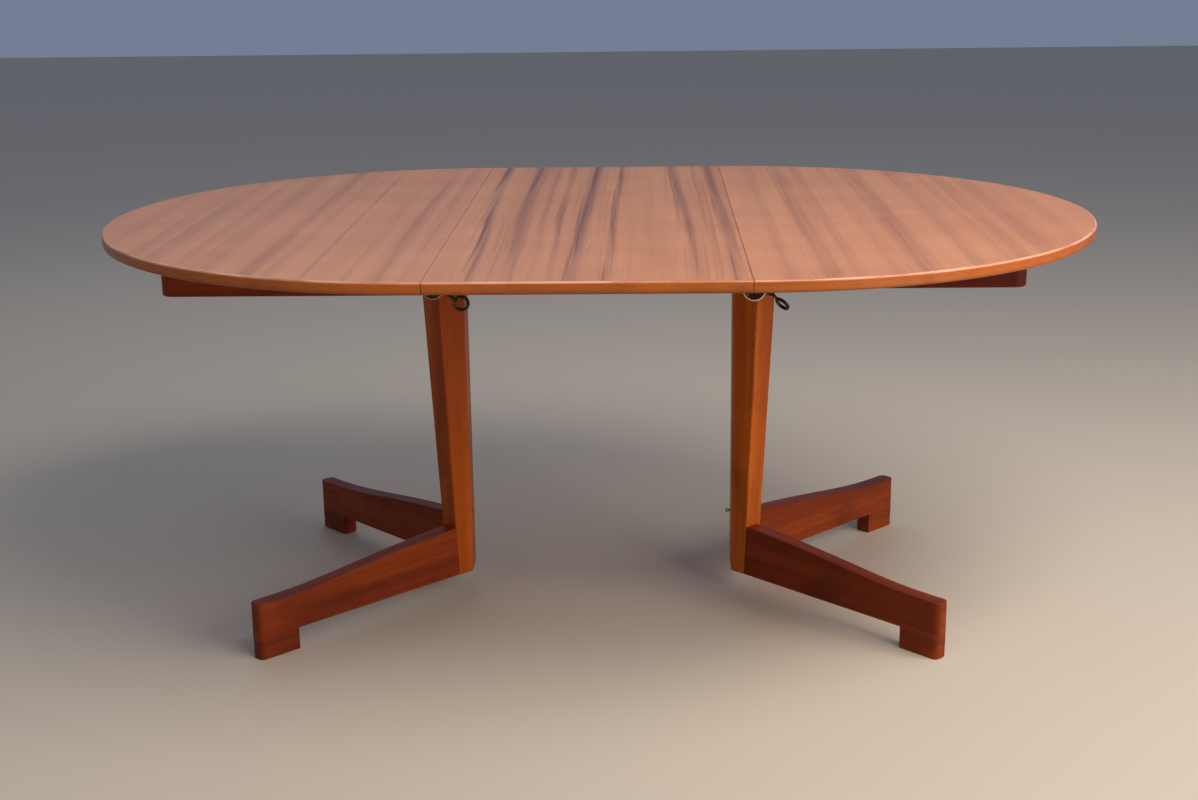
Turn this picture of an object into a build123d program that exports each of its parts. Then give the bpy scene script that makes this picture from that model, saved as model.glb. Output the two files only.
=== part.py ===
"""Extending dining table: two half-round tops on split pedestals, with a loose centre leaf.

Frame: millimetres, +Z up, floor at Z = 0. X runs along the slides, and the origin is on the floor
below the middle of the leaf. Pieces of a half are drawn for the right half (+X); the left half is
the same half turned half a turn about Z. The front is the -Y side.
"""
from build123d import *
from math import cos, degrees, atan2, hypot, radians, sin, sqrt
import os

# ---------------------------------------------------------------- driving dimensions
TABLE_HEIGHT = 712.0
TOP_RADIUS = 630.0
LEAF_SPACING = 484.0
TOP_THICKNESS = 19.0
VENEER_THICKNESS = 0.8
LIPPING_WIDTH = 9.0
ARRIS_TOP = 3.5
ARRIS_BOTTOM = 2.5
VENEER_LAND = 0.3
JOINT_GAP = 1.0

# Pedestal: a tapered six-sided post, two arms at 45 degrees and a foot block under each arm's end.
POST_SETBACK = 0.5
POST_BOTTOM = 39.0
FACET_SUM_BOTTOM = 318.8
FACET_SUM_TOP = 361.6
POST_BACK_BOTTOM = 291.5
POST_BACK_TOP = 320.6
POST_RIDGE_RADIUS = 3.0
POST_EDGE_RADIUS = 2.0
POST_FLUSH = 0.6
TENON_LENGTH = 30.0
TENON_SHOULDER = 14.0
TENON_HALF_WIDTH = 30.0

ARM_ANGLE = 45.0
ARM_ORIGIN = 235.0
ARM_THICKNESS = 30.0
ARM_LENGTH = 496.0
ARM_ROOT_HEIGHT = 133.5
ARM_TIP_HEIGHT = 102.0
ARM_END_RADIUS = 10.0
ARM_EDGE_RADIUS = 2.0
BLOCK_LENGTH = 78.5
BLOCK_HEIGHT = 28.5
BLOCK_SETBACK = 0.3
BLOCK_EDGE = 1.5

DOWEL_DIAMETER = 10.0
DOWEL_LENGTH = 60.0
DOWEL_LEVELS = (66.0, 104.0)
WOOD_CLEARANCE = 0.1

# Slides: a rail of one half runs beside a rail of the other, with a key between them.
RAIL_OUTSIDE = 330.0
RAIL_THICKNESS = 32.0
RAIL_DEPTH = 62.0
RAIL_GAP = 0.5
RAIL_OUTER_END = 711.0
RAIL_INNER_END = -228.0
RAIL_NOSE_RADIUS = 22.0
RAIL_HEEL_RADIUS = 8.0
RAIL_EDGE = 1.5
KEY_HEIGHT = 10.0
KEY_SEAT = 8.0
KEY_DROP = 26.0
KEY_CLEARANCE = 0.3
KEY_START = -190.0
KEY_LENGTH = 330.0
OPENING_TRAVEL = 60.0
STOP_PIN_DIAMETER = 7.0
STOP_MARGIN = 1.0

# Bearer that carries the post under each half.
BEARER_THICKNESS = 40.0
BEARER_FRONT = 1.5
BEARER_WIDTH = 86.0
BEARER_END_GAP = 3.5

# Screws.
LONG_SHANK = 5.0
LONG_HEAD = 9.0
LONG_HEAD_HEIGHT = 4.0
LONG_BITE = 12.0
COUNTERBORE = 11.0
RAIL_SCREW_PLACES = (290.0, 460.0, 640.0)
RAIL_SCREW_INSET = 20.0
RAIL_SCREW_COVER = 26.0
BEARER_SCREW_PLACES = (120.0, 225.0)
BEARER_SCREW_COVER = 24.0
SMALL_SHANK = 3.0
SMALL_HEAD = 6.0
SMALL_HEAD_HEIGHT = 1.2
SMALL_BITE = 12.0

# Catches: a lever on each half that hooks a pin on the leaf. Places are from the joint line.
LEVER_THICKNESS = 4.0
DISC_RADIUS = 17.5
DISC_BEVEL = 1.4
HUB_RADIUS = 5.0
PIVOT_DIAMETER = 4.0
PIVOT_CLEARANCE = 0.08
PIVOT_DROP = 7.5
ARM_BAR_WIDTH = 4.4
RING_OUTSIDE = 25.0
RING_WIRE = 5.2
SHEET = 1.6
LATCHED_TOP = 2.2
BRACKET_LENGTH = 40.0
BRACKET_HALF_WIDTH = 10.0
BRACKET_SCREWS = (18.0, 32.0)
KEEPER_HALF_WIDTH = 12.0
KEEPER_SCREW_Y = 8.6
KEEPER_EAR_HALF = 4.0
KEEPER_PIN_DIAMETER = 3.0
KEEPER_PIN_DROP = 5.6
NOTCH_CLEARANCE = 0.7
NOTCH_FLOOR_CLEARANCE = 0.4
EAR_CLEARANCE = 0.35
KEEPER_EAR_CLEARANCE = 0.9
NEAR_CATCH_Y = 585.0
FAR_CATCH_Y = 538.0
# Hook end beyond the pivot, seen from the front: -1 to the left, +1 to the right.
PULL_CATCH = {"disc": (3.4, -3.2), "pivot": 27.0, "hook": -1, "swing": 10.0,
              "ring": (44.9, -25.4), "pin": -6.5, "twist": 62.0}
REACH_CATCH = {"disc": (5.8, -8.0), "pivot": -7.0, "hook": 1, "swing": 11.0,
               "ring": (49.5, -31.5), "pin": 17.0, "twist": 0.0}

# Screw eye between the posts, and the socket that takes it when the halves are shut.
EYE_HEIGHT = 148.0
EYE_OUTSIDE = 8.0
EYE_WIRE = 2.0
EYE_TILT = 45.0
EYE_SHANK_LENGTH = 14.0
SOCKET_RADIUS = 6.5
SOCKET_DEPTH = 14.0

# ---------------------------------------------------------------- derived places
UNDERSIDE = TABLE_HEIGHT - TOP_THICKNESS
JOINT_X = LEAF_SPACING / 2
EDGE_X = JOINT_X + JOINT_GAP / 2
VENEER_RADIUS = TOP_RADIUS - ARRIS_TOP - VENEER_LAND
CORE_RADIUS = TOP_RADIUS - LIPPING_WIDTH
POST_TOP = UNDERSIDE - BEARER_THICKNESS
POST_FRONT = EDGE_X + POST_SETBACK
FACE_DIFFERENCE = ARM_ORIGIN - (ARM_THICKNESS / 2 + POST_FLUSH) * sqrt(2)
OUTER_RAIL_FACE = RAIL_OUTSIDE - RAIL_THICKNESS
INNER_RAIL_FACE = OUTER_RAIL_FACE - RAIL_GAP
INNER_RAIL_BACK = INNER_RAIL_FACE - RAIL_THICKNESS
KEY_TOP = UNDERSIDE - KEY_DROP
KEY_BOTTOM = KEY_TOP - KEY_HEIGHT
KEY_END = KEY_START + KEY_LENGTH
STOP_PIN_X = KEY_END + OPENING_TRAVEL + STOP_MARGIN + STOP_PIN_DIAMETER / 2
STOP_PIN_Y = OUTER_RAIL_FACE + (KEY_SEAT + KEY_CLEARANCE) / 2
BEARER_X0 = EDGE_X + BEARER_FRONT
BEARER_X1 = BEARER_X0 + BEARER_WIDTH
BEARER_END = INNER_RAIL_BACK - BEARER_END_GAP


# ---------------------------------------------------------------- shared shapes
def block(x0, x1, y0, y1, z0, z1):
    """Box between two corners."""
    return Pos((x0 + x1) / 2, (y0 + y1) / 2, (z0 + z1) / 2) * Box(x1 - x0, y1 - y0, z1 - z0)


def upright(x, y, z0, z1, diameter):
    """Cylinder along Z between two levels."""
    return Pos(x, y, (z0 + z1) / 2) * Cylinder(diameter / 2, z1 - z0)


def crosswise(x, y0, y1, z, diameter):
    """Cylinder along Y between two places."""
    return Pos(x, (y0 + y1) / 2, z) * Rot(90, 0, 0) * Cylinder(diameter / 2, y1 - y0)


def turned(shape):
    """The same piece half a turn round the table."""
    return Rot(0, 0, 180) * shape


def front_to_back(shape):
    """The same piece on the other side of the long centre line."""
    return mirror(shape, about=Plane.XZ)


def save(node, pieces, colour):
    """Write one node as a STEP file: a single solid, or a group of like solids."""
    if isinstance(pieces, list):
        solids = [solid for piece in pieces for solid in piece.solids()]
        result = Compound(label=node, children=solids)
    else:
        result = pieces.solids()[0] if len(pieces.solids()) == 1 else Compound(children=pieces.solids())
        result.label = node
    result.color = Color(*colour)
    export_step(result, f"parts/{node}.step")


TEAK = (0.66, 0.38, 0.22)
TEAK_SOLID = (0.62, 0.30, 0.13)
TEAK_DARK = (0.38, 0.17, 0.08)
BEECH = (0.78, 0.62, 0.42)
BOARD = (0.74, 0.62, 0.45)
BRASS = (0.55, 0.45, 0.25)
STEEL = (0.6, 0.6, 0.62)

os.makedirs("parts", exist_ok=True)


# ---------------------------------------------------------------- half-round top
def half_disc(radius, z0, z1):
    """Half disc about the joint line, cut back by half the joint gap."""
    disc = upright(JOINT_X, 0, z0, z1, 2 * radius)
    return disc & block(EDGE_X, JOINT_X + radius + 1, -radius - 1, radius + 1, z0 - 1, z1 + 1)


def half_lipping():
    """Solid edge band bent round the half top, rebated for the veneer."""
    band = half_disc(TOP_RADIUS, UNDERSIDE, TABLE_HEIGHT)
    arcs = band.edges().filter_by(GeomType.CIRCLE).sort_by(Axis.Z)
    band = fillet(arcs[-1:], ARRIS_TOP)
    arcs = band.edges().filter_by(GeomType.CIRCLE).sort_by(Axis.Z)
    band = fillet(arcs[:1], ARRIS_BOTTOM)
    band -= half_disc(CORE_RADIUS, UNDERSIDE - 1, TABLE_HEIGHT + 1)
    return band - half_disc(VENEER_RADIUS, TABLE_HEIGHT - VENEER_THICKNESS, TABLE_HEIGHT + 1)


def half_core():
    return half_disc(CORE_RADIUS, UNDERSIDE, TABLE_HEIGHT - VENEER_THICKNESS)


def half_veneer():
    return half_disc(VENEER_RADIUS, TABLE_HEIGHT - VENEER_THICKNESS, TABLE_HEIGHT)


# ---------------------------------------------------------------- loose leaf
LEAF_X = JOINT_X - JOINT_GAP / 2


def leaf_core():
    return block(-LEAF_X, LEAF_X, -CORE_RADIUS, CORE_RADIUS, UNDERSIDE, TABLE_HEIGHT - VENEER_THICKNESS)


def leaf_veneer():
    bottom = TABLE_HEIGHT - VENEER_THICKNESS
    return block(-LEAF_X, LEAF_X, -VENEER_RADIUS, VENEER_RADIUS, bottom, TABLE_HEIGHT)


def leaf_lipping():
    """Front edge band of the leaf, with the same section as the bent one."""
    band = block(-LEAF_X, LEAF_X, -TOP_RADIUS, -CORE_RADIUS, UNDERSIDE, TABLE_HEIGHT)
    outer = band.edges().filter_by(Axis.X).group_by(Axis.Y)[0].sort_by(Axis.Z)
    band = fillet(outer[-1:], ARRIS_TOP)
    outer = band.edges().filter_by(Axis.X).sort_by(Axis.Z)
    band = fillet(outer.group_by(Axis.Z)[0].sort_by(Axis.Y)[:1], ARRIS_BOTTOM)
    return band - block(-LEAF_X - 1, LEAF_X + 1, -VENEER_RADIUS, -CORE_RADIUS + 1,
                        TABLE_HEIGHT - VENEER_THICKNESS, TABLE_HEIGHT + 1)


# ---------------------------------------------------------------- pedestal
def post_section(z):
    """Six-sided outline of the post at one level: inner face, two ridges and outer face."""
    share = (z - POST_BOTTOM) / (POST_TOP - POST_BOTTOM)
    facet_sum = FACET_SUM_BOTTOM + share * (FACET_SUM_TOP - FACET_SUM_BOTTOM)
    back = POST_BACK_BOTTOM + share * (POST_BACK_TOP - POST_BACK_BOTTOM)
    ridge = ((facet_sum + FACE_DIFFERENCE) / 2, (facet_sum - FACE_DIFFERENCE) / 2)
    inner = (POST_FRONT, POST_FRONT - FACE_DIFFERENCE)
    outer = (back, facet_sum - back)
    corners = [inner, ridge, outer]
    outline = [(x, -y, z) for x, y in corners] + [(x, y, z) for x, y in reversed(corners)]
    return make_face(Polyline(*outline, close=True))


def bare_post():
    """Tapered post with its ridges and lower end eased, before any hole is cut."""
    body = loft([post_section(POST_BOTTOM), post_section(POST_TOP)], ruled=True)
    uprights = [e for e in body.edges() if abs((e @ 0).Z - (e @ 1).Z) > BLOCK_LENGTH]
    ridges = sorted(uprights, key=lambda e: -abs((e @ 0.5).Y))[:2]
    body = fillet(ridges, POST_RIDGE_RADIUS)
    uprights = [e for e in body.edges() if abs((e @ 0).Z - (e @ 1).Z) > BLOCK_LENGTH]
    fronts = sorted(uprights, key=lambda e: (e @ 0.5).X)[:2]
    body = fillet(fronts, POST_EDGE_RADIUS)
    return chamfer(body.faces().sort_by(Axis.Z)[0].edges(), POST_EDGE_RADIUS / 2)


def tenon(clearance=0.0):
    """Tenon on the post's head; the mortise is the same shape with a clearance."""
    return block(POST_FRONT + TENON_SHOULDER - clearance, POST_BACK_TOP - TENON_SHOULDER + clearance,
                 -TENON_HALF_WIDTH - clearance, TENON_HALF_WIDTH + clearance,
                 POST_TOP - 1, POST_TOP + TENON_LENGTH + clearance)


def in_arm_place(shape):
    """From a drawing along +X to the front arm, which leaves the post at an angle."""
    return Pos(ARM_ORIGIN, 0, 0) * Rot(0, 0, -ARM_ANGLE) * shape


def arm_blank():
    """Arm on edge, drawn along +X: straight below with a step for the foot, falling on top."""
    fall = ARM_ROOT_HEIGHT - ARM_TIP_HEIGHT
    start = ARM_LENGTH * 0.1
    top = Spline((start, ARM_ROOT_HEIGHT),
                 (ARM_LENGTH * 0.32, ARM_TIP_HEIGHT + 0.79 * fall),
                 (ARM_LENGTH * 0.58, ARM_TIP_HEIGHT + 0.38 * fall),
                 (ARM_LENGTH * 0.82, ARM_TIP_HEIGHT + 0.045 * fall),
                 (ARM_LENGTH, ARM_TIP_HEIGHT), tangents=[(1, -0.04), (1, 0.0)])
    step = ARM_LENGTH - BLOCK_LENGTH
    sides = Polyline((ARM_LENGTH, ARM_TIP_HEIGHT), (ARM_LENGTH, BLOCK_HEIGHT), (step, BLOCK_HEIGHT),
                     (step, POST_BOTTOM), (start, POST_BOTTOM), (start, ARM_ROOT_HEIGHT))
    profile = Plane.XZ * make_face([top, sides])
    body = extrude(profile, ARM_THICKNESS / 2, both=True)
    ends = body.edges().filter_by(Axis.Z).group_by(Axis.X)[-1]
    body = fillet(ends, ARM_END_RADIUS)
    curved = [e for e in body.edges() if e.length > ARM_LENGTH / 2]
    return fillet(curved, ARM_EDGE_RADIUS)


def foot_block():
    """Glued block below the arm's tip; the table stands on it."""
    far = ARM_LENGTH - BLOCK_SETBACK
    half = ARM_THICKNESS / 2 - BLOCK_SETBACK
    body = block(ARM_LENGTH - BLOCK_LENGTH, far, -half, half, 0, BLOCK_HEIGHT)
    body = fillet(body.edges().filter_by(Axis.Z).group_by(Axis.X)[-1], ARM_END_RADIUS - BLOCK_SETBACK)
    return in_arm_place(chamfer(body.faces().sort_by(Axis.Z)[0].edges(), BLOCK_EDGE))


def arm_dowels(clearance=0.0):
    """Pair of dowels along the arm, half in the post and half in the arm."""
    middle = (FACET_SUM_BOTTOM - ARM_ORIGIN) / sqrt(2)
    rods = [Pos(middle, 0, z) * Rot(0, 90, 0) *
            Cylinder(DOWEL_DIAMETER / 2 + clearance, DOWEL_LENGTH + 2 * clearance) for z in DOWEL_LEVELS]
    return [in_arm_place(rod) for rod in rods]


# ---------------------------------------------------------------- slides
def rail_blank(outside, inside):
    """Back rail between two distances from the centre line, rounded at its outer end."""
    body = block(RAIL_INNER_END, RAIL_OUTER_END, inside, outside, UNDERSIDE - RAIL_DEPTH, UNDERSIDE)
    corners = body.edges().filter_by(Axis.Z).group_by(Axis.X)[-1].sort_by(Axis.Y)
    body = fillet(corners[-1:], RAIL_NOSE_RADIUS)
    corners = body.edges().filter_by(Axis.Z).sort_by(Axis.X)
    heel = [e for e in corners if abs(e.center().X - RAIL_OUTER_END) < 0.1 and e.center().Y < inside + 1]
    body = fillet(heel, RAIL_HEEL_RADIUS)
    return chamfer(body.faces().sort_by(Axis.Z)[0].edges(), RAIL_EDGE)


def outer_rail():
    """Back rail of the right half, grooved along its inner face for the other half's key."""
    body = rail_blank(RAIL_OUTSIDE, OUTER_RAIL_FACE)
    closed_key = LEAF_SPACING - KEY_START + STOP_MARGIN
    body -= block(RAIL_INNER_END - 1, closed_key, OUTER_RAIL_FACE - 1,
                  OUTER_RAIL_FACE + KEY_SEAT + KEY_CLEARANCE, KEY_BOTTOM - KEY_CLEARANCE,
                  KEY_TOP + KEY_CLEARANCE)
    return body - stop_pin()


def inner_rail():
    """Front rail of the right half, seated along its outer face for its key."""
    body = front_to_back(rail_blank(INNER_RAIL_FACE, INNER_RAIL_BACK))
    return body - slide_key()


def slide_key():
    """Hardwood key glued in the inner rail, running in the other half's groove."""
    return block(KEY_START, KEY_END, -OUTER_RAIL_FACE - KEY_SEAT, -INNER_RAIL_FACE + KEY_SEAT,
                 KEY_BOTTOM, KEY_TOP)


def stop_pin():
    """Pin up through the outer rail and across its groove, where the key stops."""
    return upright(-STOP_PIN_X, STOP_PIN_Y, UNDERSIDE - RAIL_DEPTH + RAIL_EDGE,
                   KEY_TOP + KEY_HEIGHT, STOP_PIN_DIAMETER)


# ---------------------------------------------------------------- screws
def long_screw(x, y, head_level, tip_level):
    """Countersunk wood screw driven upwards, drawn as head and shank."""
    return upright(x, y, head_level - LONG_HEAD_HEIGHT, head_level, LONG_HEAD) + \
        upright(x, y, head_level, tip_level, LONG_SHANK)


def long_hole(x, y, head_level, tip_level, mouth_level):
    return upright(x, y, mouth_level, head_level, COUNTERBORE) + \
        upright(x, y, head_level - 1, tip_level + WOOD_CLEARANCE, LONG_SHANK + 2 * WOOD_CLEARANCE)


def small_screw(x, y, head_level):
    """Short screw whose flat head lies on the sheet metal it holds."""
    return upright(x, y, head_level - SMALL_HEAD_HEIGHT, head_level, SMALL_HEAD) + \
        upright(x, y, head_level, head_level + SMALL_BITE, SMALL_SHANK)


def small_hole(x, y, head_level):
    return upright(x, y, head_level - 1, head_level + SMALL_BITE + WOOD_CLEARANCE,
                   SMALL_SHANK + 2 * WOOD_CLEARANCE)


def rail_screw_places():
    """Right half: along its front inner rail and its back outer rail."""
    front = -INNER_RAIL_BACK - (RAIL_THICKNESS - RAIL_SCREW_INSET)
    back = RAIL_OUTSIDE - (RAIL_THICKNESS - RAIL_SCREW_INSET)
    return [(x, y) for y in (front, back) for x in RAIL_SCREW_PLACES]


def bearer_screw_places():
    x = (BEARER_X0 + BEARER_X1) / 2
    return [(x, side * y) for side in (-1, 1) for y in BEARER_SCREW_PLACES]


# ---------------------------------------------------------------- catches
def about(point, centre, angle):
    """Turn a point in the XZ plane; a positive angle is anticlockwise seen from the front."""
    dx, dz = point[0] - centre[0], point[1] - centre[1]
    c, s = cos(radians(angle)), sin(radians(angle))
    return centre[0] + dx * c - dz * s, centre[1] + dx * s + dz * c


def flat_bar(a, b, width, thickness):
    """Straight bar in the XZ plane between two points."""
    length = hypot(b[0] - a[0], b[1] - a[1])
    lean = degrees(atan2(b[1] - a[1], b[0] - a[0]))
    return Pos((a[0] + b[0]) / 2, 0, (a[1] + b[1]) / 2) * Rot(0, -lean, 0) * Box(length, thickness, width)


def catch_lever(kind):
    """Lever at rest, unhooked: bevelled half disc with a notch, hub, bar and finger ring."""
    pivot = (kind["pivot"], -PIVOT_DROP)
    hook = kind["hook"]
    latched_disc = about(kind["disc"], pivot, kind["swing"] * hook)
    half = LEVER_THICKNESS / 2
    disc = chamfer(Cylinder(DISC_RADIUS, LEVER_THICKNESS).edges(), DISC_BEVEL)
    plate = Pos(latched_disc[0], 0, latched_disc[1]) * Rot(90, 0, 0) * disc
    big = 4 * DISC_RADIUS
    if hook > 0:
        plate -= block(-big, kind["pivot"] - HUB_RADIUS / 2, -big, big, -big, big)
    reach = KEEPER_PIN_DIAMETER / 2 + NOTCH_CLEARANCE
    notch_floor = -KEEPER_PIN_DROP - KEEPER_PIN_DIAMETER / 2 - NOTCH_FLOOR_CLEARANCE
    plate -= block(kind["pin"] - reach, kind["pin"] + reach, -big, big, notch_floor, big)
    rest = Pos(pivot[0], 0, pivot[1]) * Rot(0, kind["swing"] * hook, 0) * Pos(-pivot[0], 0, -pivot[1])
    body = rest * plate
    body += crosswise(pivot[0], -half, half, pivot[1], 2 * HUB_RADIUS)
    root = (kind["disc"][0] + DISC_RADIUS * 0.85, kind["disc"][1] - DISC_RADIUS * 0.22)
    if hook < 0:
        body += flat_bar(root, pivot, 2 * HUB_RADIUS * 0.8, LEVER_THICKNESS)
        root = pivot
    ring = kind["ring"]
    mean = (RING_OUTSIDE - RING_WIRE) / 2
    span = hypot(ring[0] - root[0], ring[1] - root[1])
    touch = (ring[0] + (root[0] - ring[0]) * mean / span, ring[1] + (root[1] - ring[1]) * mean / span)
    body += flat_bar(root, touch, ARM_BAR_WIDTH, LEVER_THICKNESS)
    body -= rest * block(-big, big, -big, big, -LATCHED_TOP, big)
    lean = degrees(atan2(ring[1] - root[1], ring[0] - root[0]))
    loop = Rot(0, -lean, 0) * Rot(kind["twist"], 0, 0) * Rot(90, 0, 0) * Torus(mean, RING_WIRE / 2)
    body += Pos(ring[0], 0, ring[1]) * loop
    return body - crosswise(pivot[0], -big, big, pivot[1], PIVOT_DIAMETER + 2 * PIVOT_CLEARANCE)


def catch_bracket(kind):
    """Folded bracket on the half's underside, with two ears for the pivot pin."""
    away = -kind["hook"]
    pivot_x = kind["pivot"]
    near = pivot_x - away * (HUB_RADIUS + 0.8)
    far = near + away * BRACKET_LENGTH
    body = block(min(near, far), max(near, far), -BRACKET_HALF_WIDTH, BRACKET_HALF_WIDTH, -SHEET, 0)
    ear_y = LEVER_THICKNESS / 2 + EAR_CLEARANCE
    for side in (-1, 1):
        y0, y1 = sorted((side * ear_y, side * (ear_y + SHEET)))
        ear = block(pivot_x - HUB_RADIUS, pivot_x + HUB_RADIUS, y0, y1, -PIVOT_DROP, -SHEET)
        ear += crosswise(pivot_x, y0, y1, -PIVOT_DROP, 2 * HUB_RADIUS)
        body += ear
    body -= crosswise(pivot_x, -big_pin(), big_pin(), -PIVOT_DROP, PIVOT_DIAMETER)
    for x in bracket_screw_places(kind):
        body -= small_hole(x, 0, -SHEET)
    return body


def big_pin():
    """Half length of the pivot pin, a little proud of the ears."""
    return LEVER_THICKNESS / 2 + EAR_CLEARANCE + SHEET + 0.6


def bracket_screw_places(kind):
    away = -kind["hook"]
    near = kind["pivot"] - away * (HUB_RADIUS + 0.8)
    return [near + away * along for along in BRACKET_SCREWS]


def catch_pin(kind):
    return crosswise(kind["pivot"], -big_pin(), big_pin(), -PIVOT_DROP, PIVOT_DIAMETER)


def keeper_plate(kind):
    """Folded plate on the leaf's underside that holds the keeper pin; open between its ears."""
    x = kind["pin"]
    x0, x1 = x - KEEPER_EAR_HALF - 3, x + KEEPER_EAR_HALF + 1
    body = block(x0, x1, -KEEPER_HALF_WIDTH, KEEPER_HALF_WIDTH, -SHEET, 0)
    inner = LEVER_THICKNESS / 2 + KEEPER_EAR_CLEARANCE
    for side in (-1, 1):
        y0, y1 = sorted((side * inner, side * (inner + SHEET)))
        body += block(x - KEEPER_EAR_HALF, x + KEEPER_EAR_HALF, y0, y1,
                      -KEEPER_PIN_DROP - KEEPER_PIN_DIAMETER, -SHEET)
    body -= crosswise(x, -KEEPER_HALF_WIDTH, KEEPER_HALF_WIDTH, -KEEPER_PIN_DROP, KEEPER_PIN_DIAMETER)
    for side in (-1, 1):
        body -= small_hole(x, side * KEEPER_SCREW_Y, -SHEET)
    return body


def keeper_pin(kind):
    half = LEVER_THICKNESS / 2 + KEEPER_EAR_CLEARANCE + SHEET + 0.5
    return crosswise(kind["pin"], -half, half, -KEEPER_PIN_DROP, KEEPER_PIN_DIAMETER)


# Where each catch sits: kind, joint line, Y, and whether it is turned half round the table.
CATCHES = {"front_left": (REACH_CATCH, -JOINT_X, -FAR_CATCH_Y, False),
           "front_right": (PULL_CATCH, JOINT_X, -NEAR_CATCH_Y, False),
           "back_right": (REACH_CATCH, -JOINT_X, -FAR_CATCH_Y, True),
           "back_left": (PULL_CATCH, JOINT_X, -NEAR_CATCH_Y, True)}


def at_catch(name, shape):
    kind, joint_line, y, half_turn = CATCHES[name]
    placed = Pos(joint_line, y, UNDERSIDE) * shape
    return turned(placed) if half_turn else placed


# ---------------------------------------------------------------- build: post, arms and tops
post = bare_post() + tenon()
arm = in_arm_place(arm_blank()) - bare_post()
arm = arm.solids().sort_by(Axis.X)[-1]
for hole in arm_dowels(WOOD_CLEARANCE):
    post -= hole
    post -= front_to_back(hole)
    arm -= hole
bearer = block(BEARER_X0, BEARER_X1, -BEARER_END, BEARER_END, POST_TOP, UNDERSIDE) - tenon(WOOD_CLEARANCE * 2)
core = half_core()
rails = {"front": inner_rail(), "back": outer_rail()}
rail_screws = []
bearer_screws = []
for x, y in bearer_screw_places():
    head = UNDERSIDE - BEARER_SCREW_COVER
    bearer -= long_hole(x, y, head, UNDERSIDE + LONG_BITE, POST_TOP - 1)
    core -= long_hole(x, y, head, UNDERSIDE + LONG_BITE, head - 2)
    bearer_screws.append(long_screw(x, y, head, UNDERSIDE + LONG_BITE))
for x, y in rail_screw_places():
    head = UNDERSIDE - RAIL_SCREW_COVER
    end = "front" if y < 0 else "back"
    rails[end] -= long_hole(x, y, head, UNDERSIDE + LONG_BITE, UNDERSIDE - RAIL_DEPTH - 1)
    core -= long_hole(x, y, head, UNDERSIDE + LONG_BITE, head - 2)
    rail_screws.append(long_screw(x, y, head, UNDERSIDE + LONG_BITE))

# Right half's own screw eye, and the socket for it in the left post.
eye_x = POST_FRONT - EYE_OUTSIDE / 2 - EYE_WIRE
eye = Pos(eye_x, 0, EYE_HEIGHT) * Rot(EYE_TILT, 0, 0) * Torus((EYE_OUTSIDE - EYE_WIRE) / 2, EYE_WIRE / 2)
eye_shank = Rot(0, 90, 0) * Cylinder(EYE_WIRE / 2, EYE_SHANK_LENGTH)
eye += Pos(eye_x + EYE_OUTSIDE / 2 + EYE_SHANK_LENGTH / 2 - EYE_WIRE / 2, 0, EYE_HEIGHT) * eye_shank
eye_hole = Pos(POST_FRONT + EYE_SHANK_LENGTH / 2 - 2, 0, EYE_HEIGHT) * Rot(0, 90, 0) * \
    Cylinder(EYE_WIRE / 2 + WOOD_CLEARANCE, EYE_SHANK_LENGTH)
socket = Pos(POST_FRONT + SOCKET_DEPTH / 2 - 1, 0, EYE_HEIGHT) * Rot(0, 90, 0) * \
    Cylinder(SOCKET_RADIUS, SOCKET_DEPTH + 2)

# ---------------------------------------------------------------- write both halves
HALVES = {"right": lambda shape: shape, "left": turned}
OTHER_END = {"front": "back", "back": "front"}
for side, place in HALVES.items():
    small = []
    side_core = place(core)
    for name in CATCHES:
        if name.endswith(side):
            kind = CATCHES[name][0]
            save(f"{side}_catch_bracket_{name.split('_')[0]}", at_catch(name, catch_bracket(kind)), BRASS)
            for x in bracket_screw_places(kind):
                small.append(at_catch(name, small_screw(x, 0, -SHEET)))
                side_core -= at_catch(name, small_hole(x, 0, -SHEET))
    save(f"{side}_top_core", side_core, BOARD)
    save(f"{side}_top_veneer", place(half_veneer()), TEAK)
    save(f"{side}_top_lipping", place(half_lipping()), TEAK_SOLID)
    save(f"{side}_bearer", place(bearer), BEECH)
    save(f"{side}_post", place(post - (eye_hole if side == "right" else socket)), TEAK_SOLID)
    for drawn in OTHER_END:
        end = drawn if side == "right" else OTHER_END[drawn]
        flip = front_to_back if drawn == "back" else (lambda shape: shape)
        save(f"{side}_arm_{end}", place(flip(arm)), TEAK_DARK)
        save(f"{side}_foot_block_{end}", place(flip(foot_block())), TEAK_DARK)
        save(f"{side}_rail_{end}", place(rails[drawn]), TEAK_DARK)
    dowels = [place(rod) for rod in arm_dowels()]
    save(f"{side}_arm_dowels", dowels + [front_to_back(rod) for rod in dowels], BEECH)
    save(f"{side}_slide_key", place(slide_key()), BEECH)
    save(f"{side}_stop_pin", place(stop_pin()), STEEL)
    save(f"{side}_rail_screws", [place(screw) for screw in rail_screws], STEEL)
    save(f"{side}_bearer_screws", [place(screw) for screw in bearer_screws], STEEL)
    save(f"{side}_bracket_screws", small, STEEL)
    pins = [at_catch(name, catch_pin(CATCHES[name][0])) for name in CATCHES if name.endswith(side)]
    save(f"{side}_catch_pins", pins, BRASS)
save("post_screw_eye", eye, BRASS)

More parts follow.
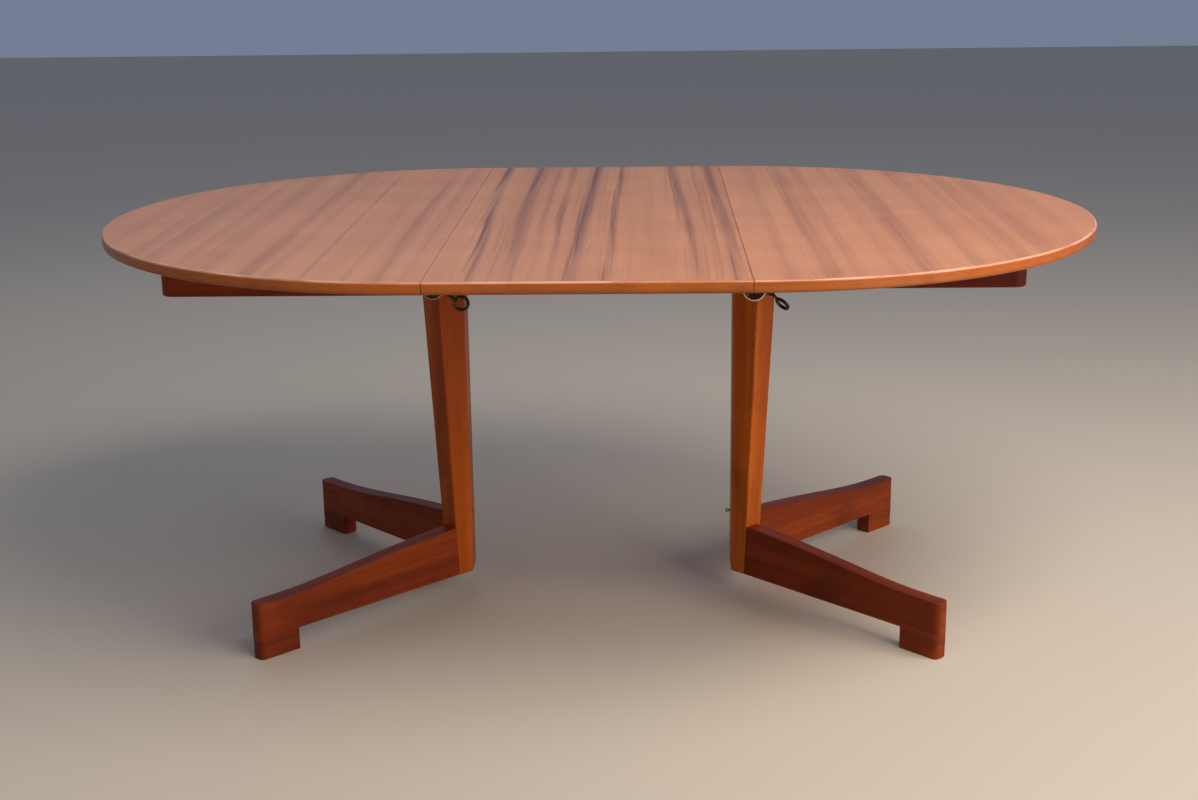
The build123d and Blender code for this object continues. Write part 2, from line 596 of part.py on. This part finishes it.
# ---------------------------------------------------------------- write the leaf
board = leaf_core()
keeper_screws = []
for name, (kind, joint_line, y, half_turn) in CATCHES.items():
    for side in (-1, 1):
        board -= at_catch(name, small_hole(kind["pin"], side * KEEPER_SCREW_Y, -SHEET))
        keeper_screws.append(at_catch(name, small_screw(kind["pin"], side * KEEPER_SCREW_Y, -SHEET)))
save("leaf_core", board, BOARD)
save("leaf_veneer", leaf_veneer(), TEAK)
save("leaf_lipping_front", leaf_lipping(), TEAK_SOLID)
save("leaf_lipping_back", front_to_back(leaf_lipping()), TEAK_SOLID)
save("leaf_keeper_plates", [at_catch(name, keeper_plate(CATCHES[name][0])) for name in CATCHES], BRASS)
save("leaf_keeper_pins", [at_catch(name, keeper_pin(CATCHES[name][0])) for name in CATCHES], BRASS)
save("leaf_keeper_screws", keeper_screws, STEEL)

# ---------------------------------------------------------------- write the levers
for name, (kind, joint_line, y, half_turn) in CATCHES.items():
    save(f"catch_lever_{name}", at_catch(name, catch_lever(kind)), BRASS)
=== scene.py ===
"""An extending teak dining table: two half-round tops on split posts, and a loose centre leaf.

Metres, +Z up, floor at Z = 0. X runs along the slide rails, the front is the -Y side.
"""
from math import pi, radians
import bmesh
import bpy
from mathutils import Matrix, Vector


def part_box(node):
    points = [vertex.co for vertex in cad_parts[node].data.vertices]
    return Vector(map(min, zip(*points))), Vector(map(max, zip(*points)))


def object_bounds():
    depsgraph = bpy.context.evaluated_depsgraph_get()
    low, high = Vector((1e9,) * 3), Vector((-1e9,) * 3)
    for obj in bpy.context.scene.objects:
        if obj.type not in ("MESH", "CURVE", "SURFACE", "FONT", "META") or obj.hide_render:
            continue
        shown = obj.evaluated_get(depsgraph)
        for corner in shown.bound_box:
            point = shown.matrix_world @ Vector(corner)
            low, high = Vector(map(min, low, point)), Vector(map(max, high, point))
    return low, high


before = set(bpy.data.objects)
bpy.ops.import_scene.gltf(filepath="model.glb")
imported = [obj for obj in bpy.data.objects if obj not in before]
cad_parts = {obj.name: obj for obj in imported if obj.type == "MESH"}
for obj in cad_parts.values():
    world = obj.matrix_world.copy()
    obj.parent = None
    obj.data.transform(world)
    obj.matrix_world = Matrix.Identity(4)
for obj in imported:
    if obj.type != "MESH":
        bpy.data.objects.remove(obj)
cad_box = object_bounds()


# ---------------------------------------------------------------- studio
# A pale matt floor under soft light. The key box stands to the right with a small one below it, weak
# ones stand to the left and behind, and a long one overhead draws the bright line along the edge.
CAMERA_PLACE = (0.0855, -3.0922, 1.2024)
CAMERA_YAW, CAMERA_PITCH, CAMERA_ROLL = 0.02833, 0.26484, -0.01238
CAMERA_LENS = 52.02
SENSOR_WIDTH = 36.0
FLOOR_SIZE = 30.0
FLOOR_COLOUR = (0.60, 0.50, 0.375)
FLOOR_ROUGHNESS = 0.55
SKY_COLOUR = (0.175, 0.210, 0.300)
LIGHTS_AIM = (0.0, 0.0, 0.5)
# Each soft box: its place, its width and depth, its watts and its colour.
SOFT_BOXES = {
    "key light": ((3.2, -1.9, 1.95), (3.6, 2.3), 108.0, (1.0, 0.95, 0.92)),
    "fill light": ((-3.2, -2.6, 1.6), (2.0, 1.6), 6.0, (0.97, 0.98, 1.0)),
    "side light": ((2.4, -2.2, 0.70), (1.4, 0.8), 7.0, (1.0, 0.95, 0.90)),
    "back light": ((-1.4, 2.6, 3.1), (2.6, 1.4), 12.0, (0.84, 0.92, 1.0)),
    "top light": ((1.1, -1.1, 2.7), (2.4, 0.9), 56.0, (1.0, 0.97, 0.95)),
}


def new_finish(name, **sockets):
    """Material with one Principled BSDF, and plain values for the sockets named."""
    material = bpy.data.materials.new(name)
    material.use_nodes = True
    shader = material.node_tree.nodes["Principled BSDF"]
    for socket, value in sockets.items():
        shader.inputs[socket.replace("_", " ")].default_value = value
    return material, material.node_tree, shader


camera = bpy.data.objects.new("camera", bpy.data.cameras.new("camera"))
camera.data.lens = CAMERA_LENS
camera.data.sensor_width = SENSOR_WIDTH
camera.matrix_world = (Matrix.Translation(CAMERA_PLACE) @ Matrix.Rotation(CAMERA_YAW, 4, "Z")
                       @ Matrix.Rotation(pi / 2 - CAMERA_PITCH, 4, "X")
                       @ Matrix.Rotation(CAMERA_ROLL, 4, "Z"))
bpy.context.collection.objects.link(camera)
bpy.context.scene.camera = camera

for name, (place, (width, depth), watts, glow) in SOFT_BOXES.items():
    light = bpy.data.lights.new(name, "AREA")
    light.shape = "RECTANGLE"
    light.size, light.size_y = width, depth
    light.energy = watts
    light.color = glow
    box = bpy.data.objects.new(name, light)
    box.location = place
    box.rotation_euler = (Vector(LIGHTS_AIM) - Vector(place)).to_track_quat("-Z", "Y").to_euler()
    bpy.context.collection.objects.link(box)

world = bpy.data.worlds.new("studio")
world.use_nodes = True
world.node_tree.nodes["Background"].inputs["Color"].default_value = (*SKY_COLOUR, 1)
bpy.context.scene.world = world
bpy.context.scene.view_settings.view_transform = "Standard"

floor_shape = bmesh.new()
bmesh.ops.create_grid(floor_shape, size=FLOOR_SIZE / 2)
floor_mesh = bpy.data.meshes.new("floor")
floor_shape.to_mesh(floor_mesh)
floor_shape.free()
floor = bpy.data.objects.new("floor", floor_mesh)
bpy.context.collection.objects.link(floor)
floor_finish, _, _ = new_finish("pale floor", Base_Color=(*FLOOR_COLOUR, 1), Roughness=FLOOR_ROUGHNESS)
floor_mesh.materials.append(floor_finish)


# ---------------------------------------------------------------- veneered tops
# Each panel is a board faced with thin teak veneer, its grain across the table. The halves are
# quietly striped; the leaf was cut from another log and has smoky brown figure.
VENEER_PALE = (0.60, 0.248, 0.112)
VENEER_WARM = (0.43, 0.160, 0.070)
VENEER_STREAK = (0.185, 0.066, 0.042)
VENEER_SPECULAR = 0.42
VENEER_ROUGHNESS = 0.39
# The grain of all the wood, as patterns to the metre: broad bands, fine lines and open pores, long
# along the grain and narrow across it. It wanders sideways a little on its way.
BAND_STRETCH = (17.0, 0.55, 17.0)
LINE_STRETCH = (150.0, 1.4, 150.0)
PORE_STRETCH = (1100.0, 26.0, 1100.0)
WANDER_STRETCH = (2.0, 1.1, 2.0)
WANDER = 0.009
PORE_DEPTH = 0.00006
PORE_STRENGTH = 0.35
# The halves' streaks run straight: place in X, half width, depth of colour.
HALF_STREAKS = {
    "left_top_veneer": ((-0.271, 0.010, 0.18), (-0.312, 0.015, 0.28), (-0.357, 0.010, 0.16),
                        (-0.426, 0.003, 0.45), (-0.478, 0.012, 0.14), (-0.514, 0.011, 0.32),
                        (-0.590, 0.020, 0.18), (-0.640, 0.010, 0.15), (-0.692, 0.020, 0.26),
                        (-0.735, 0.017, 0.20), (-0.800, 0.016, 0.12)),
    "right_top_veneer": ((0.300, 0.013, 0.22), (0.360, 0.018, 0.30), (0.400, 0.012, 0.22),
                         (0.455, 0.009, 0.10), (0.510, 0.020, 0.32), (0.590, 0.018, 0.20),
                         (0.640, 0.008, 0.12), (0.670, 0.015, 0.20), (0.716, 0.022, 0.24),
                         (0.790, 0.016, 0.12)),
}
# The leaf's streaks lean: place in X at the front and at the back edge, half width, depth.
LEAF_STREAKS = ((-0.176, -0.203, 0.009, 0.66), (-0.124, -0.138, 0.014, 0.66), (-0.088, -0.098, 0.007, 0.30),
                (-0.060, -0.066, 0.007, 0.48), (-0.029, -0.017, 0.012, 0.76), (0.026, 0.034, 0.007, 0.62),
                (0.164, 0.140, 0.010, 0.58), (0.194, 0.184, 0.006, 0.20), (0.219, 0.214, 0.012, 0.70))
FRONT_EDGE = cad_box[0][1]
TOP_WIDTH = cad_box[1][1] - cad_box[0][1]
# Streaks are feathered by the lines, have fine hairs beside them, and pale towards the front edge.
FEATHER = 0.015
HAIR_SPREAD = 2.4
HAIR_SHARE = 0.60
FULL_FIGURE_Y = -0.10
# Seed, how strongly the plain ground is banded, and how much of each streak is left at the front.
GROUND = {
    "left_top_veneer": (3.1, 0.34, 0.85),
    "leaf_veneer": (7.7, 0.60, 0.42),
    "right_top_veneer": (12.4, 0.30, 0.85),
}
CLOUD_STRETCH = (5.0, 7.0, 5.0)
FADE_STRETCH = (11.0, 1.7, 11.0)


def add_node(tree, kind, inputs=None, **settings):
    """Node of one kind with its settings, and its inputs set or linked by name or number."""
    node = tree.nodes.new(kind)
    for key, value in settings.items():
        setattr(node, key, value)
    for key, value in (inputs or {}).items():
        socket = node.inputs[key]
        if isinstance(value, bpy.types.NodeSocket):
            tree.links.new(value, socket)
        else:
            socket.default_value = value
    return node


def reckon(tree, operation, *values):
    """Output of a Math node on the values, which are numbers or sockets."""
    return add_node(tree, "ShaderNodeMath", dict(enumerate(values)), operation=operation).outputs[0]


def remap(tree, value, low, high, to_low=0.0, to_high=1.0):
    """Output of a smooth Map Range."""
    inputs = {"Value": value, "From Min": low, "From Max": high, "To Min": to_low, "To Max": to_high}
    return add_node(tree, "ShaderNodeMapRange", inputs, interpolation_type="SMOOTHSTEP").outputs["Result"]


def tint(tree, share, first, second):
    """Colour between two, which are sockets or plain colours."""
    node = add_node(tree, "ShaderNodeMix", data_type="RGBA", blend_type="MIX")
    colour_sockets = [socket for socket in node.inputs if socket.type == "RGBA"]
    for socket, value in zip([node.inputs[0]] + colour_sockets, (share, first, second)):
        if isinstance(value, bpy.types.NodeSocket):
            tree.links.new(value, socket)
        else:
            socket.default_value = (*value, 1) if isinstance(value, tuple) else value
    return next(socket for socket in node.outputs if socket.type == "RGBA")


def laid_over(tree, colour, over, mask, low, high, share=1.0):
    """Colour with another laid over it, up to a share, where a mask rises from low to high."""
    return tint(tree, remap(tree, mask, low, high, 0.0, share), colour, over)


def noise(tree, position, stretch, detail=3.0, roughness=0.55):
    """Noise stretched along the grain."""
    stretched = add_node(tree, "ShaderNodeVectorMath", {0: position, 1: stretch}, operation="MULTIPLY")
    inputs = {"Vector": stretched.outputs[0], "Scale": 1.0, "Detail": detail, "Roughness": roughness}
    return add_node(tree, "ShaderNodeTexNoise", inputs).outputs[0]


def make_grain():
    """Node group: Position with the grain along Y, and a Seed, to Bands, Lines, Pores and Across."""
    group = bpy.data.node_groups.new("teak grain", "ShaderNodeTree")
    group.interface.new_socket("Position", in_out="INPUT", socket_type="NodeSocketVector")
    group.interface.new_socket("Seed", in_out="INPUT", socket_type="NodeSocketFloat")
    for name in ("Bands", "Lines", "Pores", "Across"):
        group.interface.new_socket(name, in_out="OUTPUT", socket_type="NodeSocketFloat")
    given = group.nodes.new("NodeGroupInput")
    seeded = add_node(group, "ShaderNodeVectorMath", {0: given.outputs["Position"]}, operation="ADD")
    group.links.new(given.outputs["Seed"], seeded.inputs[1])
    wander = noise(group, seeded.outputs[0], WANDER_STRETCH, 2.0)
    shift = reckon(group, "MULTIPLY", reckon(group, "SUBTRACT", wander, 0.5), WANDER * 2)
    sideways = add_node(group, "ShaderNodeCombineXYZ", {"X": shift})
    both = {0: seeded.outputs[0], 1: sideways.outputs[0]}
    bent = add_node(group, "ShaderNodeVectorMath", both, operation="ADD").outputs[0]
    result = group.nodes.new("NodeGroupOutput")
    bands = noise(group, bent, BAND_STRETCH, 4.0)
    lines = noise(group, bent, LINE_STRETCH, 4.0, 0.62)
    pores = remap(group, noise(group, bent, PORE_STRETCH, 2.0), 0.58, 0.72)
    for name, value in (("Bands", bands), ("Lines", lines), ("Pores", pores), ("Across", shift)):
        group.links.new(value, result.inputs[name])
    return group


teak_grain = make_grain()


def placed(tree):
    """The piece's own position, and its three parts."""
    position = add_node(tree, "ShaderNodeTexCoord").outputs["Object"]
    return position, add_node(tree, "ShaderNodeSeparateXYZ", {0: position}).outputs


def grained(tree, position, seed):
    """The grain's outputs at a position."""
    group = add_node(tree, "ShaderNodeGroup", node_tree=teak_grain)
    tree.links.new(position, group.inputs["Position"])
    group.inputs["Seed"].default_value = seed
    return group.outputs


def lacquer(tree, shader, grain, colour, rough):
    """Satin lacquer over a wood colour: roughness follows the lines, pores dip a little."""
    sheen = remap(tree, grain["Lines"], 0.3, 0.7, rough - 0.04, rough + 0.05)
    tree.links.new(colour, shader.inputs["Base Color"])
    tree.links.new(sheen, shader.inputs["Roughness"])
    bump = add_node(tree, "ShaderNodeBump", {"Strength": PORE_STRENGTH, "Distance": PORE_DEPTH}, invert=True)
    tree.links.new(grain["Pores"], bump.inputs["Height"])
    tree.links.new(bump.outputs["Normal"], shader.inputs["Normal"])


def dress(material, *names):
    """Put one finish on CAD nodes."""
    for name in names:
        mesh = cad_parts[name].data
        mesh.materials.clear()
        mesh.materials.append(material)


def streaked(tree, x, y, grain, streaks, widen=1.0):
    """Dark figure: soft bumps along the streaks' lines, feathered by the fine grain."""
    drift = reckon(tree, "ADD", x, grain["Across"])
    feather = reckon(tree, "MULTIPLY", reckon(tree, "SUBTRACT", grain["Lines"], 0.5), FEATHER)
    here = reckon(tree, "ADD", drift, feather)
    total = None
    for front, back, half_width, depth in streaks:
        place = reckon(tree, "MULTIPLY_ADD", y, (back - front) / TOP_WIDTH, (front + back) / 2)
        off = reckon(tree, "ABSOLUTE", reckon(tree, "SUBTRACT", here, place))
        bump = remap(tree, off, half_width * 1.4 * widen, half_width * 0.1, 0.0, depth)
        total = bump if total is None else reckon(tree, "MAXIMUM", total, bump)
    return total


def veneer(name, streaks):
    """Finish for one panel's veneer: banded ground, clouds, streaks with hairs, lines and pores."""
    finish, tree, shader = new_finish(f"{name} finish", Specular_IOR_Level=VENEER_SPECULAR)
    position, (x, y, z) = placed(tree)
    seed, banding, front_share = GROUND[name]
    grain = grained(tree, position, seed)
    cloud = noise(tree, position, CLOUD_STRETCH, 2.0)
    ground = laid_over(tree, VENEER_PALE, VENEER_WARM, grain["Bands"], 0.3, 0.7, banding)
    ground = laid_over(tree, ground, VENEER_WARM, cloud, 0.35, 0.65, 0.30)
    fade = remap(tree, noise(tree, position, FADE_STRETCH, 2.0), 0.32, 0.58, 0.62, 1.05)
    front_fade = remap(tree, y, FRONT_EDGE, FULL_FIGURE_Y, front_share, 1.0)
    fade = reckon(tree, "MULTIPLY", fade, front_fade)
    figure = reckon(tree, "MULTIPLY", streaked(tree, x, y, grain, streaks), fade)
    hairs = remap(tree, grain["Lines"], 0.50, 0.62)
    hairs = reckon(tree, "MULTIPLY", streaked(tree, x, y, grain, streaks, HAIR_SPREAD), hairs)
    figure = reckon(tree, "MULTIPLY_ADD", hairs, HAIR_SHARE, figure)
    colour = tint(tree, reckon(tree, "MINIMUM", figure, 1.0), ground, VENEER_STREAK)
    colour = laid_over(tree, colour, VENEER_STREAK, grain["Lines"], 0.45, 0.75, 0.22 * banding)
    colour = tint(tree, reckon(tree, "MULTIPLY", grain["Pores"], 0.28), colour, VENEER_STREAK)
    lacquer(tree, shader, grain, colour, VENEER_ROUGHNESS)
    return finish


for name, streaks in HALF_STREAKS.items():
    dress(veneer(name, [(place, place, half_width, depth) for place, half_width, depth in streaks]), name)
dress(veneer("leaf_veneer", LEAF_STREAKS), "leaf_veneer")


# ---------------------------------------------------------------- boards below the veneer
# The core of each half and of the leaf is a flat board, with the fine veneer glued on top of it
# and a plain, unpolished one below.
BOARD_PALE = (0.40, 0.225, 0.115)
BOARD_BROWN = (0.27, 0.135, 0.062)
BOARD_SEED = 21.0
BOARD_ROUGHNESS = 0.62

board_finish, tree, shader = new_finish("plain underside")
position, _ = placed(tree)
grain = grained(tree, position, BOARD_SEED)
colour = laid_over(tree, BOARD_PALE, BOARD_BROWN, grain["Bands"], 0.3, 0.7)
colour = laid_over(tree, colour, BOARD_BROWN, grain["Lines"], 0.4, 0.75, 0.4)
lacquer(tree, shader, grain, colour, BOARD_ROUGHNESS)
dress(board_finish, "left_top_core", "right_top_core", "leaf_core")


# ---------------------------------------------------------------- edge bands
# Strips of solid golden teak, bent and glued round the halves and straight on the leaf's ends.
# Their top corner has a painted highlight in patches, and the lower part has painted shade.
BAND_LIGHT = (0.60, 0.172, 0.026)
BAND_DEEP = (0.40, 0.092, 0.011)
# Colour of the painted highlight along the band's top corner.
BAND_PAINTED_HIGHLIGHT = (0.82, 0.40, 0.23)
BAND_GLOSS = 0.5
WOOD_SPECULAR = 0.16
COAT_ROUGHNESS = 0.16
WOOD_ROUGHNESS = 0.40
DARK_SHARE = 0.35
SMUDGE_STRETCH = (9.0, 6.0, 9.0)
TABLE_HEIGHT = cad_box[1][2]
TOP_RADIUS = cad_box[1][1]
# The joint line is midway between the leaf's board and a half's.
JOINT_X = (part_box("leaf_core")[1][0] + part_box("right_top_core")[0][0]) / 2
# Depths below the table's top where the painted highlight on the corner starts and is full, and where the
# painted shade does.
PAINTED_HIGHLIGHT_DEPTHS = (0.0042, 0.0008)
PAINTED_SHADE_DEPTHS = (0.0115, 0.0185)
# How the painted highlight on the corner breaks into patches, to the metre.
HIGHLIGHT_PATCH_STRETCH = (30.0, 9.0, 30.0)


def grain_to_y(tree, along):
    """Position turned so that the grain's direction, an angle about Z or "Z" for upright, is along Y."""
    position, (x, y, z) = placed(tree)
    if along == "Z":
        return add_node(tree, "ShaderNodeCombineXYZ", {"X": x, "Y": z, "Z": y}).outputs[0]
    inputs = {"Vector": position, "Rotation": (0.0, 0.0, radians(90.0 - along))}
    return add_node(tree, "ShaderNodeMapping", inputs, vector_type="POINT").outputs[0]


def distance(tree, across, up):
    """Length of the hypotenuse over two sockets."""
    squares = [reckon(tree, "MULTIPLY", part, part) for part in (across, up)]
    return reckon(tree, "SQRT", reckon(tree, "ADD", *squares))


def bent_to_y(tree, centre):
    """Position on a band bent round a centre on X, laid out straight along Y."""
    position, (x, y, z) = placed(tree)
    from_centre = reckon(tree, "SUBTRACT", x, centre)
    outwards = reckon(tree, "MULTIPLY", from_centre, 1.0 if centre > 0 else -1.0)
    along = reckon(tree, "MULTIPLY", reckon(tree, "ARCTAN2", y, outwards), TOP_RADIUS)
    inputs = {"X": distance(tree, from_centre, y), "Y": along, "Z": z}
    return add_node(tree, "ShaderNodeCombineXYZ", inputs).outputs[0]


def solid_wood(name, light, deep, seed, along=None, bent_round=None, rough=WOOD_ROUGHNESS, gloss=0.0,
               mark=None):
    """Finish for one stick of wood, its grain along an angle or bent round a centre. mark adds to
    the colour what only this piece has, such as a painted highlight and painted shade, or a glue line."""
    finish, tree, shader = new_finish(name, Specular_IOR_Level=WOOD_SPECULAR, Coat_Weight=gloss,
                                      Coat_Roughness=COAT_ROUGHNESS)
    position = grain_to_y(tree, along) if bent_round is None else bent_to_y(tree, bent_round)
    grain = grained(tree, position, seed)
    dark = tuple(part * DARK_SHARE for part in deep)
    colour = laid_over(tree, light, deep, grain["Bands"], 0.32, 0.66)
    colour = laid_over(tree, colour, deep, grain["Lines"], 0.40, 0.72, 0.60)
    colour = laid_over(tree, colour, dark, grain["Lines"], 0.60, 0.80, 0.50)
    colour = tint(tree, reckon(tree, "MULTIPLY", grain["Pores"], 0.6), colour, dark)
    smudge = noise(tree, position, SMUDGE_STRETCH)
    colour = laid_over(tree, colour, dark, smudge, 0.48, 0.72, 0.45)
    if mark:
        colour = mark(tree, position, colour, dark)
    lacquer(tree, shader, grain, colour, rough)
    return finish


def painted_highlight_and_shade(tree, position, colour, dark):
    """The band's colour with a painted highlight in patches along its top corner and painted shade on its
    lower part.
    """
    height = placed(tree)[1][2]
    # Painted highlight near the top of the band, painted shade lower down.
    highlight_patches = remap(tree, noise(tree, position, HIGHLIGHT_PATCH_STRETCH, 4.0), 0.30, 0.62, 0.25, 0.8)
    corner = remap(tree, height, *(TABLE_HEIGHT - depth for depth in PAINTED_HIGHLIGHT_DEPTHS))
    colour = tint(tree, reckon(tree, "MULTIPLY", corner, highlight_patches), colour, BAND_PAINTED_HIGHLIGHT)
    return laid_over(tree, colour, dark, height, *(TABLE_HEIGHT - depth for depth in PAINTED_SHADE_DEPTHS), 0.6)


for side, centre, seed in (("left", -JOINT_X, 31.0), ("right", JOINT_X, 32.5)):
    dress(solid_wood(f"{side} edge band teak", BAND_LIGHT, BAND_DEEP, seed, bent_round=centre,
                     gloss=BAND_GLOSS, mark=painted_highlight_and_shade), f"{side}_top_lipping")
dress(solid_wood("leaf edge band teak", BAND_LIGHT, BAND_DEEP, 34.0, along=0.0, gloss=BAND_GLOSS,
                 mark=painted_highlight_and_shade), "leaf_lipping_front", "leaf_lipping_back")


# ---------------------------------------------------------------- posts
# Each post is one tapered, six-sided stick of teak with upright grain, tenoned into its bearer.
# The right one is golden; the left one has the same wood painted darker and browner, as painted shade.
GOLD_LIGHT = (0.62, 0.140, 0.008)
GOLD_DEEP = (0.38, 0.066, 0.003)
# The left post's colours: the right's made darker and browner as painted shade.
SHADED_GOLD_LIGHT = (0.54, 0.112, 0.006)
SHADED_GOLD_DEEP = (0.33, 0.053, 0.002)

dress(solid_wood("left post teak", SHADED_GOLD_LIGHT, SHADED_GOLD_DEEP, 41.0, along="Z"), "left_post")
dress(solid_wood("right post teak", GOLD_LIGHT, GOLD_DEEP, 43.0, along="Z"), "right_post")


# ---------------------------------------------------------------- arms and foot blocks
# Two arms on edge splay from each post, doweled to it, with a block glued below each tip. They
# came from a redder, darker plank, and the glue shows as a dark line across the end.
RED_LIGHT = (0.300, 0.044, 0.003)
RED_DEEP = (0.150, 0.017, 0.001)
# The direction of each arm's grain about Z, and its seed.
ARMS = {
    ("left", "front"): (-135.0, 44.3),
    ("left", "back"): (135.0, 47.6),
    ("right", "front"): (-45.0, 46.3),
    ("right", "back"): (45.0, 49.6),
}
FOOT_BLOCK_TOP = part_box("left_foot_block_front")[1][2]
# Distances from the joint where the glue line starts to show and is darkest.
GLUE_LINE_REACH = (0.0022, 0.0006)


def glue_line(tree, position, colour, dark):
    """The block's colour with a dark line where it meets the arm."""
    height = placed(tree)[1][2]
    off = reckon(tree, "ABSOLUTE", reckon(tree, "SUBTRACT", height, FOOT_BLOCK_TOP))
    return laid_over(tree, colour, dark, off, *GLUE_LINE_REACH, 0.75)


for (side, end), (angle, seed) in ARMS.items():
    dress(solid_wood(f"{side} {end} arm teak", RED_LIGHT, RED_DEEP, seed, along=angle), f"{side}_arm_{end}")
    dress(solid_wood(f"{side} {end} foot teak", RED_LIGHT, RED_DEEP, seed + 1.1, along=angle,
                     mark=glue_line), f"{side}_foot_block_{end}")


# ---------------------------------------------------------------- slide rails
# Each half has a front and a back rail screwed under it, which run beside the other half's. They
# are the same red teak as the arms, less polished, and the right pair is the darker one.
RED_DARK = (0.100, 0.010, 0.001)
RAIL_ROUGHNESS = 0.45
RAIL_TONES = {"left": (RED_LIGHT, RED_DEEP), "right": (RED_DEEP, RED_DARK)}
RAIL_SEEDS = {
    ("left", "front"): 46.2,
    ("left", "back"): 49.5,
    ("right", "front"): 48.2,
    ("right", "back"): 51.5,
}

for (side, end), seed in RAIL_SEEDS.items():
    dress(solid_wood(f"{side} {end} rail teak", *RAIL_TONES[side], seed, along=0.0, rough=RAIL_ROUGHNESS),
          f"{side}_rail_{end}")


# ---------------------------------------------------------------- bearers, slide keys and dowels
# Plain beech, never polished. The bearers lie across the table under each half, the keys are glued
# into the inner rails, and the dowels join the arms to the posts.
BEECH_LIGHT = (0.52, 0.33, 0.18)
BEECH_DEEP = (0.38, 0.21, 0.10)
BEECH_ROUGHNESS = 0.6

key_beech = solid_wood("beech along the rails", BEECH_LIGHT, BEECH_DEEP, 61.0, along=0.0,
                       rough=BEECH_ROUGHNESS)
bearer_beech = solid_wood("beech across the table", BEECH_LIGHT, BEECH_DEEP, 63.0, along=90.0,
                          rough=BEECH_ROUGHNESS)
dress(key_beech, "left_slide_key", "right_slide_key", "left_arm_dowels", "right_arm_dowels")
dress(bearer_beech, "left_bearer", "right_bearer")


# ---------------------------------------------------------------- catches, keepers and screw eye
# Levers, folded brackets, keepers and the eye are brass gone dark, bright where hands rub them.
# The bevelled rim of each lever's half disc has a painted highlight.
BRASS_DARK = (0.040, 0.026, 0.014)
BRASS_RUBBED = (0.16, 0.11, 0.055)
# Colour of the painted highlight on the levers' rims.
BRASS_PAINTED_HIGHLIGHT = (0.80, 0.66, 0.46)
BRASS_ROUGHNESS = 0.38
BRASS_PATCHES = 190.0
LEVER_ROUGHNESS = 0.36
LEVER_PATCHES = 210.0
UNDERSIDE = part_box("leaf_core")[0][2]
DISC_RADIUS = 0.0175
# The painted highlight's inner and outer fade on the rim, as distances in from and out past the disc's
# radius.
HIGHLIGHT_INNER_FADE = (0.0024, 0.0014)
HIGHLIGHT_OUTER_FADE = (0.0012, 0.0004)
# Each front lever: its twin at the back, its joint line, how far the disc's centre is past that
# line and below the underside, and how strong the painted highlight on the rim is.
LEVERS = {
    "front_left": ("back_right", -JOINT_X, 0.0058, 0.0080, 0.4),
    "front_right": ("back_left", JOINT_X, 0.0034, 0.0032, 1.0),
}


def worn_metal(name, dark, rubbed, rough, patches, highlight_disc=None):
    """Dull metal with rubbed patches, so many to the metre. The last argument is the X and Z of a disc and
    how strong the painted highlight on its rim is."""
    finish, tree, shader = new_finish(name, Metallic=1.0)
    position, (x, y, z) = placed(tree)
    cloud = noise(tree, position, (patches, patches, patches), 5.0, 0.6)
    colour = laid_over(tree, dark, rubbed, cloud, 0.48, 0.75)
    dull = remap(tree, cloud, 0.3, 0.7, rough + 0.1, rough - 0.08)
    # Painted highlight on the disc's bevelled rim.
    if highlight_disc:
        centre_x, centre_z, highlight_strength = highlight_disc
        away = distance(tree, reckon(tree, "SUBTRACT", x, centre_x), reckon(tree, "SUBTRACT", z, centre_z))
        inside = remap(tree, away, *(DISC_RADIUS - reach for reach in HIGHLIGHT_INNER_FADE), 0.0, highlight_strength)
        outside = remap(tree, away, *(DISC_RADIUS + reach for reach in HIGHLIGHT_OUTER_FADE))
        rim = reckon(tree, "MULTIPLY", inside, outside)
        colour = tint(tree, rim, colour, BRASS_PAINTED_HIGHLIGHT)
        dull = reckon(tree, "SUBTRACT", dull, reckon(tree, "MULTIPLY", rim, 0.12))
    tree.links.new(colour, shader.inputs["Base Color"])
    tree.links.new(dull, shader.inputs["Roughness"])
    return finish


brass = worn_metal("tarnished brass", BRASS_DARK, BRASS_RUBBED, BRASS_ROUGHNESS, BRASS_PATCHES)
dress(brass, "leaf_keeper_plates", "leaf_keeper_pins", "post_screw_eye")
for side in ("left", "right"):
    dress(brass, f"{side}_catch_bracket_front", f"{side}_catch_bracket_back", f"{side}_catch_pins")
for lever, (twin, joint, past, below, highlight_strength) in LEVERS.items():
    for name, centre_x in ((lever, joint + past), (twin, -joint - past)):
        disc = (centre_x, UNDERSIDE - below, highlight_strength)
        dress(worn_metal(f"{name} lever brass", BRASS_DARK, BRASS_RUBBED, LEVER_ROUGHNESS, LEVER_PATCHES,
                         disc), f"catch_lever_{name}")


# ---------------------------------------------------------------- screws and stop pins
# Dull steel: wood screws below the tops, and the pin across each outer rail's groove that stops
# the slide.
STEEL_DARK = (0.20, 0.20, 0.205)
STEEL_GREY = (0.36, 0.36, 0.37)
STEEL_ROUGHNESS = 0.42
STEEL_PATCHES = 260.0

steel = worn_metal("dull steel", STEEL_DARK, STEEL_GREY, STEEL_ROUGHNESS, STEEL_PATCHES)
dress(steel, "leaf_keeper_screws")
for side in ("left", "right"):
    dress(steel, f"{side}_rail_screws", f"{side}_bearer_screws", f"{side}_bracket_screws", f"{side}_stop_pin")
